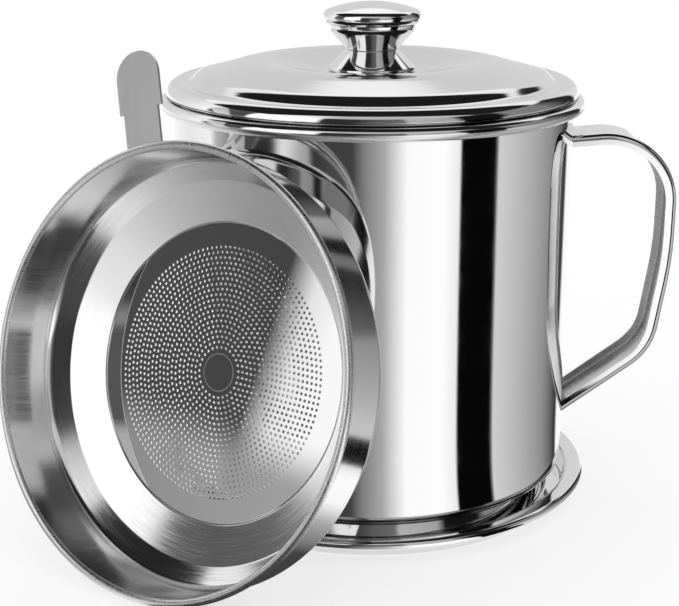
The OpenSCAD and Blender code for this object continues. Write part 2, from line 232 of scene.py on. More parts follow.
@dataclass(frozen=True)
class WorkedSteel:
    """304 stainless steel sheet with the fine lines of the wheel or belt left on it.

    The lines stretch each reflection across themselves, so the eye sees soft streaks in
    place of a mirror's sharp bands. Real lines are 0.02 to 0.1 mm apart, too fine to show
    in a picture of the whole, so they are drawn as coarse as line_mm.
    """

    name: str
    grain: Grain
    colour: str = "#E6E6E6"
    roughness: float = 0.2
    spread: float = 0.1
    anisotropy: float = 0.5
    line_mm: float = 0.35
    line_length_mm: float = 14.0
    line_depth_mm: float = 0.004
    wall_r_mm: float = 68.0
    along: Point3 = (0.0, 0.0, 1.0)
    across: Point3 = (1.0, 0.0, 0.0)
    leans: bool = False

    def lines_place(self, tree: bpy.types.NodeTree) -> bpy.types.NodeSocket:
        """Gives the place that the lines' noise is read at, in units of its grain.

        Args:
            tree: The material's node tree.

        Returns:
            A vector socket: across the lines, along them, and a third direction.
        """
        place = add(tree, "ShaderNodeTexCoord").outputs["Object"]
        if self.leans:
            place = kept_on_mesh(tree, UPRIGHT_PLACE)
        fine, slow = 1 / (self.line_mm * MM), 1 / (self.line_length_mm * MM)
        if self.grain is Grain.ALONG:
            parts = []
            for direction, scale in ((self.across, fine), (self.along, slow)):
                dot = add(
                    tree,
                    "ShaderNodeVectorMath",
                    {"operation": "DOT_PRODUCT"},
                    {0: place, 1: tuple(c * scale for c in direction)},
                )
                parts.append(dot.outputs["Value"])
            joined = add(tree, "ShaderNodeCombineXYZ", {}, {"X": parts[0], "Y": parts[1]})
            return joined.outputs["Vector"]
        apart = add(tree, "ShaderNodeSeparateXYZ", {}, {"Vector": place})
        x, y, z = (apart.outputs[i] for i in range(3))
        flat = add(tree, "ShaderNodeCombineXYZ", {}, {"X": x, "Y": y})
        radius = add(
            tree,
            "ShaderNodeVectorMath",
            {"operation": "LENGTH"},
            {0: flat.outputs["Vector"]},
        ).outputs["Value"]
        if self.grain is Grain.ROUND:
            turning = add(
                tree,
                "ShaderNodeVectorMath",
                {"operation": "SCALE"},
                {0: flat.outputs["Vector"], "Scale": slow},
            )
            level = add(
                tree, "ShaderNodeMath", {"operation": "ADD"}, {0: radius, 1: z}
            )
            ring = add(
                tree,
                "ShaderNodeMath",
                {"operation": "MULTIPLY"},
                {0: level.outputs[0], 1: fine},
            )
            round_place = add(
                tree, "ShaderNodeCombineXYZ", {}, {"Z": ring.outputs[0]}
            )
            total = add(
                tree,
                "ShaderNodeVectorMath",
                {"operation": "ADD"},
                {0: turning.outputs["Vector"], 1: round_place.outputs["Vector"]},
            )
            return total.outputs["Vector"]
        unit = add(
            tree,
            "ShaderNodeVectorMath",
            {"operation": "NORMALIZE"},
            {0: flat.outputs["Vector"]},
        )
        spokes = add(
            tree,
            "ShaderNodeVectorMath",
            {"operation": "SCALE"},
            {0: unit.outputs["Vector"], "Scale": self.wall_r_mm / self.line_mm},
        )
        up = add(tree, "ShaderNodeMath", {"operation": "MULTIPLY"}, {0: z, 1: slow})
        lift = add(tree, "ShaderNodeCombineXYZ", {}, {"Z": up.outputs[0]})
        total = add(
            tree,
            "ShaderNodeVectorMath",
            {"operation": "ADD"},
            {0: spokes.outputs["Vector"], 1: lift.outputs["Vector"]},
        )
        return total.outputs["Vector"]

    def material(self) -> bpy.types.Material:
        """Builds the finish's material."""
        material = empty_material(self.name)
        tree = material.node_tree
        lines = add(
            tree,
            "ShaderNodeTexNoise",
            {},
            {"Vector": self.lines_place(tree), "Scale": 1.0, "Detail": 3.0},
        ).outputs["Fac"]
        rough = add(
            tree,
            "ShaderNodeMapRange",
            {},
            {
                "Value": lines,
                "From Min": 0.3,
                "From Max": 0.7,
                "To Min": self.roughness,
                "To Max": self.roughness + self.spread,
            },
        )
        bump = add(
            tree,
            "ShaderNodeBump",
            {},
            {"Height": lines, "Distance": self.line_depth_mm * MM, "Strength": 1.0},
        )
        inputs: dict[str | int, object] = {
            "Base Color": linear(self.colour),
            "Metallic": 1.0,
            "Roughness": rough.outputs["Result"],
            "Normal": bump.outputs["Normal"],
        }
        if self.grain is not Grain.ALONG:
            inputs["Anisotropic"] = self.anisotropy
            if self.grain is Grain.ACROSS:
                inputs["Anisotropic Rotation"] = 0.25
            if self.leans:
                turned = add(
                    tree,
                    "ShaderNodeVectorTransform",
                    {
                        "vector_type": "VECTOR",
                        "convert_from": "OBJECT",
                        "convert_to": "WORLD",
                    },
                    {"Vector": kept_on_mesh(tree, WAY_ROUND)},
                )
                inputs["Tangent"] = turned.outputs["Vector"]
            else:
                tangent = add(
                    tree, "ShaderNodeTangent", {"direction_type": "RADIAL", "axis": "Z"}
                )
                inputs["Tangent"] = tangent.outputs["Tangent"]
        shader = add(tree, "ShaderNodeBsdfPrincipled", {}, inputs)
        show(material, shader.outputs["BSDF"])
        return material


@dataclass(frozen=True)
class EtchedPlateSteel:
    """Mirror steel of the filter plate, with a fine ring etched round its plain centre.

    The etch is matt, so the ring reads as a pale line on the dark half of the plate and
    as a dark line on the bright half.
    """

    name: str
    colour: str = "#E4E4E4"
    etched_colour: str = "#9A9A9A"
    roughness: float = 0.018
    etched_roughness: float = 0.5
    ring_r_mm: float = 6.0
    ring_w_mm: float = 0.45
    wave_mm: float = 26.0
    wave_depth_mm: float = 0.006

    def material(self) -> bpy.types.Material:
        """Builds the finish's material."""
        material = empty_material(self.name)
        tree = material.node_tree
        place = kept_on_mesh(tree, UPRIGHT_PLACE)
        flat = add(
            tree,
            "ShaderNodeVectorMath",
            {"operation": "MULTIPLY"},
            {0: place, 1: (1.0, 1.0, 0.0)},
        )
        radius = add(
            tree,
            "ShaderNodeVectorMath",
            {"operation": "LENGTH"},
            {0: flat.outputs["Vector"]},
        )
        ring = add(
            tree,
            "ShaderNodeMath",
            {"operation": "COMPARE"},
            {
                0: radius.outputs["Value"],
                1: self.ring_r_mm * MM,
                2: self.ring_w_mm / 2 * MM,
            },
        ).outputs[0]
        wave = add(
            tree,
            "ShaderNodeTexNoise",
            {},
            {"Vector": place, "Scale": 1 / (self.wave_mm * MM), "Detail": 1.0},
        )
        bump = add(
            tree,
            "ShaderNodeBump",
            {},
            {
                "Height": wave.outputs["Fac"],
                "Distance": self.wave_depth_mm * MM,
                "Strength": 1.0,
            },
        )
        rough = add(
            tree,
            "ShaderNodeMapRange",
            {},
            {"Value": ring, "To Min": self.roughness, "To Max": self.etched_roughness},
        )
        tint = add(
            tree,
            "ShaderNodeMix",
            {"data_type": "RGBA"},
            {0: ring, 6: linear(self.colour), 7: linear(self.etched_colour)},
        )
        shader = add(
            tree,
            "ShaderNodeBsdfPrincipled",
            {},
            {
                "Base Color": tint.outputs[2],
                "Metallic": 1.0,
                "Roughness": rough.outputs["Result"],
                "Normal": bump.outputs["Normal"],
            },
        )
        show(material, shader.outputs["BSDF"])
        return material


# ---- Bent sheet ----


@dataclass(frozen=True)
class Station:
    """A point on the middle of a bent sheet, with the way that the sheet runs there."""

    x: float
    y: float
    heading: float

    def offset(self, d: float) -> Point2:
        """Gives the point at the distance d to the left of the route."""
        return (
            self.x - d * math.sin(self.heading),
            self.y + d * math.cos(self.heading),
        )

    def left(self) -> Point2:
        """Gives the direction that points to the left of the route."""
        return -math.sin(self.heading), math.cos(self.heading)


ARC_STEP = math.radians(3)


def heading(a: Point2, b: Point2) -> float:
    """Gives the direction from a to b, in radians."""
    return math.atan2(b[1] - a[1], b[0] - a[0])


def turn(start: float, end: float) -> float:
    """Gives the shorter turn from one heading to another, positive to the left."""
    return math.remainder(end - start, math.tau)


def roll(start: Station, r: float, angle: float) -> list[Station]:
    """Lists the stations of an arc that goes on from a station.

    Args:
        start: The station that the arc goes on from, which isn't listed again.
        r: The arc's radius.
        angle: How far it turns, in radians, positive to the left.

    Returns:
        The arc's stations.
    """
    side = math.copysign(1.0, angle)
    count = max(1, math.ceil(abs(angle) / ARC_STEP))
    cx = start.x - side * r * math.sin(start.heading)
    cy = start.y + side * r * math.cos(start.heading)
    stations = []
    for i in range(1, count + 1):
        h = start.heading + angle * i / count
        stations.append(
            Station(cx + side * r * math.sin(h), cy - side * r * math.cos(h), h)
        )
    return stations


@dataclass
class Route:
    """The middle line of a bent sheet, as stations in the order that it runs."""

    stations: list[Station]

    @classmethod
    def bent(cls, points: Sequence[Point2], radii: Sequence[float]) -> "Route":
        """Draws a route through corners, each rounded with its own radius.

        Args:
            points: The two ends and the corners between them.
            radii: One radius for each corner.

        Returns:
            The route.
        """
        stations = [Station(*points[0], heading(points[0], points[1]))]
        for a, b, c, r in zip(points, points[1:], points[2:], radii):
            start = heading(a, b)
            angle = turn(start, heading(b, c))
            back = r * math.tan(abs(angle) / 2)
            first = Station(
                b[0] - back * math.cos(start), b[1] - back * math.sin(start), start
            )
            stations += [first, *roll(first, r, angle)]
        stations.append(Station(*points[-1], heading(points[-2], points[-1])))
        return cls(stations)

    def rolled(self, r: float, degrees: float) -> "Route":
        """Gives this route with an arc after it."""
        return Route(
            self.stations + roll(self.stations[-1], r, math.radians(degrees))
        )

    def straight(self, length: float) -> "Route":
        """Gives this route with a straight stretch after it.

        Args:
            length: The stretch's length.

        Returns:
            The longer route.
        """
        last = self.stations[-1]
        end = Station(
            last.x + length * math.cos(last.heading),
            last.y + length * math.sin(last.heading),
            last.heading,
        )
        return Route(self.stations + [end])


@dataclass
class MeshDraft:
    """Points, shading normals and faces of a piece, gathered patch by patch.

    Patches share no points, so the edge between two of them stays crisp, and the normals
    are the true ones of the surface.
    """

    points: list[Point3] = field(default_factory=list)
    normals: list[Point3] = field(default_factory=list)
    faces: list[tuple[int, ...]] = field(default_factory=list)
    slots: list[int] = field(default_factory=list)

    def patch(
        self,
        rows: Sequence[Sequence[Point3]],
        normals: Sequence[Sequence[Point3]],
        slot_of_row: Sequence[int],
        closed: bool,
    ) -> None:
        """Adds a grid of points and the faces between its rows.

        Args:
            rows: The rows of points, in millimetres, all of one length.
            normals: The surface's normal at each point.
            slot_of_row: The material slot of the faces after each row.
            closed: Whether each row's last point joins its first.
        """
        base, wide = len(self.points), len(rows[0])
        for row, row_normals in zip(rows, normals):
            self.points += [tuple(c * MM for c in p) for p in row]
            self.normals += row_normals
        spans = wide if closed else wide - 1
        flip = self._faces_away(rows, normals, spans)
        for i in range(len(rows) - 1):
            a, b = base + i * wide, base + (i + 1) * wide
            for k in range(spans):
                n = (k + 1) % wide
                corners = [a + k, a + n, b + n, b + k]
                if self._same(rows[i][k], rows[i][n]):
                    corners.remove(a + n)
                elif self._same(rows[i + 1][k], rows[i + 1][n]):
                    corners.remove(b + n)
                self.faces.append(tuple(reversed(corners) if flip else corners))
                self.slots.append(slot_of_row[i])

    @staticmethod
    def _same(p: Point3, q: Point3) -> bool:
        """Tells whether two points coincide."""
        return all(abs(a - b) < 1e-9 for a, b in zip(p, q))

    @staticmethod
    def _faces_away(
        rows: Sequence[Sequence[Point3]], normals: Sequence[Sequence[Point3]], spans: int
    ) -> bool:
        """Tells whether the grid's own winding is against its normals.

        Args:
            rows: The rows of points.
            normals: The surface's normal at each point.
            spans: How many faces stand between two rows.

        Returns:
            True where the faces need turning round.
        """
        against, stride = 0.0, 7
        for i in range(len(rows) - 1):
            k = (i * stride) % spans
            n = (k + 1) % len(rows[0])
            a, b, d = (Vector(p) for p in (rows[i][k], rows[i][n], rows[i + 1][k]))
            c = Vector(rows[i + 1][n])
            against += (c - a).cross(d - b).dot(Vector(normals[i][k]))
        return against < 0

    def build(
        self,
        name: str,
        finishes: Sequence[bpy.types.Material],
        place: Matrix | None = None,
    ) -> bpy.types.Object:
        """Makes the object.

        Args:
            name: The piece's name.
            finishes: Its materials, in the order of the slots.
            place: Where it stands, if it isn't upright on the Z axis. The upright place
                and the way round the axis stay on the mesh for its finish.

        Returns:
            The object, at the origin.
        """
        mesh = bpy.data.meshes.new(name)
        points, normals = self.points, self.normals
        if place is not None:
            spin = place.to_3x3()
            points = [tuple(place @ Vector(p)) for p in self.points]
            normals = [tuple(spin @ Vector(n)) for n in self.normals]
        mesh.from_pydata(points, [], self.faces)
        if place is not None:
            ways = [tuple(spin @ Vector((-y, x, 0.0))) for x, y, _ in self.points]
            for label, values in ((UPRIGHT_PLACE, self.points), (WAY_ROUND, ways)):
                layer = mesh.attributes.new(label, "FLOAT_VECTOR", "POINT")
                layer.data.foreach_set("vector", [c for v in values for c in v])
        mesh.polygons.foreach_set("material_index", self.slots)
        mesh.polygons.foreach_set("use_smooth", [True] * len(self.faces))
        for finish in finishes:
            mesh.materials.append(finish)
        mesh.update()
        mesh.normals_split_custom_set_from_vertices(normals)
        piece = bpy.data.objects.new(name, mesh)
        bpy.context.scene.collection.objects.link(piece)
        return piece


class Side(Enum):
    """The two faces of a sheet, by the side of its route that they lie on."""

    LEFT = 1
    RIGHT = -1


SlotRule = Callable[[Station, Side], int]


def one_finish(_station: Station, _side: Side) -> int:
    """Puts a whole sheet in its first material slot."""
    return 0


@dataclass(frozen=True)
class SpunSheet:
    """A sheet turned round the Z axis: its route gives radius and height."""

    name: str
    route: Route
    thickness: float
    slot: SlotRule = one_finish
    segments: int = 192

    def ring(self, point: Point2, normal: Point2) -> tuple[list[Point3], list[Point3]]:
        """Lists a ring of points and their normals.

        Args:
            point: Radius and height.
            normal: The normal's parts outwards and upwards.

        Returns:
            The points and the normals.
        """
        points, normals = [], []
        for k in range(self.segments):
            a = math.tau * k / self.segments
            c, s = math.cos(a), math.sin(a)
            points.append((point[0] * c, point[0] * s, point[1]))
            normals.append((normal[0] * c, normal[0] * s, normal[1]))
        return points, normals

    def build(
        self, finishes: Sequence[bpy.types.Material], place: Matrix | None = None
    ) -> bpy.types.Object:
        """Makes the sheet's two faces and its two edges.

        Args:
            finishes: The materials, in the order of the slots.
            place: Where it stands, if it isn't upright on the Z axis.

        Returns:
            The object, at the origin.
        """
        draft = MeshDraft()
        half = self.thickness / 2
        stations = self.route.stations
        for side in Side:
            rings = []
            for st in stations:
                nx, ny = st.left()
                rings.append(
                    self.ring(
                        st.offset(side.value * half), (nx * side.value, ny * side.value)
                    )
                )
            slots = [self.slot(st, side) for st in stations]
            draft.patch([r[0] for r in rings], [r[1] for r in rings], slots, True)
        for st, way in ((stations[0], -1.0), (stations[-1], 1.0)):
            if st.x < self.thickness / 100:
                continue
            normal = (way * math.cos(st.heading), way * math.sin(st.heading))
            rings = [self.ring(st.offset(d), normal) for d in (-half, half)]
            slots = [self.slot(st, Side.LEFT)] * 2
            draft.patch([r[0] for r in rings], [r[1] for r in rings], slots, True)
        return draft.build(self.name, finishes, place)


# ---- Sub-assemblies ----


@dataclass(frozen=True)
class DripTray:
    """The pressed tray: a raised platform, a gutter and a flange with a rolled edge."""

    diameter: float = 156.8
    sheet: float = 0.6
    platform_h: float = 9.0
    platform_d: float = 122.0
    flange_h: float = 8.3
    flange_w: float = 4.4
    roll_r: float = 1.7
    roll_turn: float = 240.0
    gutter_w: float = 6.0
    gutter_slope: float = 1.3
    bend_r: float = 1.5
    platform_bend_r: float = 2.0

    def route(self) -> Route:
        """Draws the tray's sheet from its middle outwards."""
        half = self.sheet / 2
        roll_x = self.diameter / 2 - self.roll_r
        flange_inner = roll_x - self.flange_w
        gutter_outer = flange_inner - self.gutter_slope
        corners = [
            (0.0, self.platform_h - half),
            (self.platform_d / 2, self.platform_h - half),
            (gutter_outer - self.gutter_w, half),
            (gutter_outer, half),
            (flange_inner, self.flange_h - half),
            (roll_x, self.flange_h - half),
        ]
        radii = [self.platform_bend_r, self.bend_r, self.bend_r, self.bend_r]
        return Route.bent(corners, radii).rolled(self.roll_r - half, -self.roll_turn)

    def build(self, finish: bpy.types.Material) -> list[bpy.types.Object]:
        """Makes the tray and stands it for its node."""
        piece = SpunSheet("tray_sheet", self.route(), self.sheet).build([finish])
        return [stand_for(piece, "tray", "pressed_steel", "drip_tray")]


@dataclass(frozen=True)
class Pot:
    """The drawn pot with its rolled rim, and the folded strip of its handle."""

    diameter: float = 140.0
    sheet: float = 0.7
    foot_z: float = 9.0
    height: float = 133.6
    corner_r: float = 4.7
    rim_r: float = 2.2
    rim_turn: float = 280.0
    handle_w: float = 21.0
    handle_depth: float = 3.8
    handle_sheet: float = 0.9
    handle_fold_r: float = 2.2
    handle_reach: float = 36.3
    handle_top: float = 120.4
    handle_rise: float = 3.2
    handle_foot: float = 19.4
    handle_knee: float = 42.6
    handle_tuck: float = 5.2
    handle_lean: float = 77.0
    handle_radii: tuple[float, float, float] = (25.0, 120.0, 22.0)

    def rim_top(self) -> float:
        """Gives the height of the rim's crest above the ground."""
        return self.foot_z + self.height

    def body_route(self) -> Route:
        """Draws the pot's sheet from the middle of its bottom to its rim."""
        half = self.sheet / 2
        wall = self.diameter / 2 - half
        corners = [
            (0.0, self.foot_z + half),
            (wall, self.foot_z + half),
            (wall, self.rim_top() - self.rim_r),
        ]
        cup = Route.bent(corners, [self.corner_r - half])
        return cup.rolled(self.rim_r - half, -self.rim_turn)

    def handle_route(self) -> Route:
        """Draws the outer face of the handle's strip, from its upper weld to its lower."""
        r = self.diameter / 2
        grip = r + self.handle_reach
        corners = [
            (r, self.foot_z + self.handle_top),
            (grip, self.foot_z + self.handle_top + self.handle_rise),
            (grip, self.foot_z + self.handle_lean),
            (grip - self.handle_tuck, self.foot_z + self.handle_knee),
            (r, self.foot_z + self.handle_foot),
        ]
        return Route.bent(corners, list(self.handle_radii))

    def strip_section(self) -> Route:
        """Draws the strip's section: depth under its outer face, and place across it."""
        back = self.handle_sheet / 2
        flank = self.handle_w / 2 - back
        corners = [
            (self.handle_depth, flank),
            (back, flank),
            (back, -flank),
            (self.handle_depth, -flank),
        ]
        return Route.bent(corners, [self.handle_fold_r - back] * 2)

    def handle(self, finishes: Sequence[bpy.types.Material]) -> bpy.types.Object:
        """Sweeps the section along the route, with its ends cut to the pot's wall.

        Args:
            finishes: Polished steel for the outer faces, satin for the inner ones.

        Returns:
            The handle, at the origin.
        """
        draft = MeshDraft()
        route, section = self.handle_route().stations, self.strip_section().stations
        half = self.handle_sheet / 2
        wall = self.diameter / 2

        def swept(point: Point2, normal: Point2) -> tuple[list[Point3], list[Point3]]:
            """Carries one point of the section along the route.

            Args:
                point: The point, in the section's own axes.
                normal: The section's normal there.

            Returns:
                The points along the handle, and their normals.
            """
            points, normals = [], []
            for i, st in enumerate(route):
                s, c = math.sin(st.heading), math.cos(st.heading)
                x, z = st.x + point[0] * s, st.y - point[0] * c
                if i in (0, len(route) - 1):
                    to_wall = math.sqrt(wall**2 - point[1] ** 2) - x
                    x, z = x + to_wall, z + to_wall * s / c
                points.append((x, point[1], z))
                normals.append((normal[0] * s, normal[1], -normal[0] * c))
            return points, normals

        for side in Side:
            lines = [
                swept(
                    st.offset(side.value * half),
                    tuple(side.value * n for n in st.left()),
                )
                for st in section
            ]
            slot = 0 if side is Side.RIGHT else 1
            draft.patch(
                [l[0] for l in lines], [l[1] for l in lines], [slot] * len(lines), False
            )
        for st, way in ((section[0], -1.0), (section[-1], 1.0)):
            normal = (way * math.cos(st.heading), way * math.sin(st.heading))
            lines = [swept(st.offset(d), normal) for d in (-half, half)]
            draft.patch([l[0] for l in lines], [l[1] for l in lines], [0, 0], False)
        return draft.build("handle_strip", finishes)

    def build(
        self, polished: bpy.types.Material, satin: bpy.types.Material
    ) -> list[bpy.types.Object]:
        """Makes the pot and its handle and stands them for their nodes.

        Args:
            polished: The outside's finish.
            satin: The finish of the pot's inside and the handle's inside.

        Returns:
            The two pieces.
        """

        def slot(station: Station, side: Side) -> int:
            """Puts the inside under the rim in the satin slot."""
            inside = side is Side.LEFT and station.y < self.rim_top() - self.rim_r
            return 1 if inside else 0

        body = SpunSheet("pot_sheet", self.body_route(), self.sheet, slot)
        return [
            stand_for(
                body.build([polished, satin]),
                "pot",
                "polished_steel",
                "pot_body",
                "pot_rim",
            ),
            stand_for(
                self.handle([polished, satin]), "pot", "polished_steel", "pot_handle"
            ),
        ]


@dataclass(frozen=True)
class Lid:
    """The pressed lid: dished centre, crown, ledge, shoulder and locating lip."""

    diameter: float = 143.0
    sheet: float = 0.6
    rim_top: float = 142.6
    gap: float = 0.3
    ledge_h: float = 5.5
    ledge_dip: float = 0.7
    ledge_bend_w: float = 3.0
    crown_h: float = 11.7
    crown_d: float = 80.0
    crown_rise: float = 11.0
    crown_fall: float = 14.0
    crown_r: float = 35.0
    dish_h: float = 7.8
    foot_d: float = 120.5
    lip_r: float = 68.3
    lip_depth: float = 4.0
    screw_hole_r: float = 2.2
    radii: tuple[float, ...] = (20.0, 35.0, 6.0, 2.5, 3.9, 0.6, 0.6)

    def route(self) -> Route:
        """Draws the lid's sheet from the screw's hole to the foot of its lip."""
        half = self.sheet / 2
        dish_z = self.rim_top + self.dish_h - half
        crest_z = self.rim_top + self.crown_h - half
        rise = math.tan(math.radians(self.crown_rise))
        fall = math.tan(math.radians(self.crown_fall))
        middle = self.crown_d / 2
        inner = middle - self.crown_r * math.tan(math.radians(self.crown_rise / 2))
        outer = middle + self.crown_r * math.tan(math.radians(self.crown_fall / 2))
        apex = (inner * rise + outer * fall) / (rise + fall)
        apex_z = crest_z + (apex - inner) * rise
        dish_edge = inner - (crest_z - dish_z) / rise
        foot = self.foot_d / 2
        foot_z = crest_z - (foot - outer) * fall
        ledge_z = self.rim_top + self.ledge_h - half
        wall = self.diameter / 2 - half
        under_z = self.rim_top + self.gap + half
        corners = [
            (self.screw_hole_r, dish_z),
            (dish_edge, dish_z),
            (apex, apex_z),
            (foot, foot_z),
            (foot + self.ledge_bend_w, ledge_z - self.ledge_dip),
            (wall, ledge_z),
            (wall, under_z),
            (self.lip_r, under_z),
            (self.lip_r, self.rim_top - self.lip_depth),
        ]
        return Route.bent(corners, self.radii)

    def build(
        self, satin: bpy.types.Material, polished: bpy.types.Material
    ) -> list[bpy.types.Object]:
        """Makes the lid's sheet and stands it for its node.

        Args:
            satin: The finish of the upper face.
            polished: The finish of the shoulder and the edge.

        Returns:
            The piece.
        """
        ledge = self.foot_d / 2 + self.ledge_bend_w

        def slot(station: Station, side: Side) -> int:
            """Puts the edge under the shoulder in the polished slot."""
            return 1 if side is Side.LEFT and station.x > ledge + 6 else 0

        sheet = SpunSheet("lid_sheet", self.route(), self.sheet, slot)
        piece = sheet.build([satin, polished])
        return [stand_for(piece, "lid", "pressed_steel", "lid_shell")]


@dataclass(frozen=True)
class Knob:
    """The spun knob: a skirt, a cup that stands on it, and a domed cap."""

    foot_d: float = 31.6
    waist_d: float = 18.0
    waist_h: float = 7.4
    mouth_d: float = 30.0
    seam_h: float = 16.1
    cap_d: float = 34.0
    cap_r: float = 2.5
    dome: float = 20.0
    sheet: float = 0.8
    dish_top: float = 150.4
    screw_hole_r: float = 2.2
    hem_w: float = 2.4
    hem_r: float = 0.6
    waist_bend_r: float = 0.6
    cup_curve_r: float = 3.0
    cup_shoulder: float = 1.6
    cap_lip_w: float = 1.1
    segments: int = 128

    def skirt(self) -> Route:
        """Draws the skirt from the screw's hole down to its hem."""
        half, foot = self.sheet / 2, self.foot_d / 2
        waist_z = self.dish_top + self.waist_h - half
        corners = [
            (self.screw_hole_r, waist_z),
            (self.waist_d / 2 - half, waist_z),
            (foot, self.dish_top + half),
            (foot - self.hem_w, self.dish_top + half),
        ]
        return Route.bent(corners, [self.waist_bend_r, self.hem_r])

    def cup(self) -> Route:
        """Draws the cup from the screw's hole up to its mouth."""
        half = self.sheet / 2
        waist_z = self.dish_top + self.waist_h + half
        seam_z = self.dish_top + self.seam_h
        mouth = self.mouth_d / 2 - half
        corners = [
            (self.screw_hole_r, waist_z),
            (self.waist_d / 2 - half, waist_z),
            (mouth, seam_z - self.cup_shoulder),
            (mouth, seam_z),
        ]
        return Route.bent(corners, [self.waist_bend_r, self.cup_curve_r])

    def cap(self) -> Route:
        """Draws the cap from the middle of its dome to its turned-in lip."""
        half = self.sheet / 2
        dome = math.radians(self.dome)
        edge_r = self.cap_r - half
        edge_x = self.cap_d / 2 - half - edge_r * (1 - math.sin(dome))
        dome_r = edge_x / math.sin(dome)
        lip_z = self.dish_top + self.seam_h + half
        top_z = lip_z + edge_r * (1 + math.cos(dome)) + dome_r * (1 - math.cos(dome))
        start = Route([Station(0.0, top_z, 0.0)])
        domed = start.rolled(dome_r, -self.dome)
        return domed.rolled(edge_r, self.dome - 180).straight(self.cap_lip_w)

    def build(self, finish: bpy.types.Material) -> list[bpy.types.Object]:
        """Makes the knob's three sheets and stands each for its node.

        Args:
            finish: The knob's finish.

        Returns:
            The three pieces.
        """
        pieces = []
        for name, route, node in (
            ("knob_skirt_sheet", self.skirt(), "knob_skirt"),
            ("knob_cup_sheet", self.cup(), "knob_cup"),
            ("knob_cap_sheet", self.cap(), "knob_cap"),
        ):
            sheet = SpunSheet(name, route, self.sheet, segments=self.segments)
            piece = sheet.build([finish])
            pieces.append(stand_for(piece, "lid", "polished_steel", node))
        return pieces


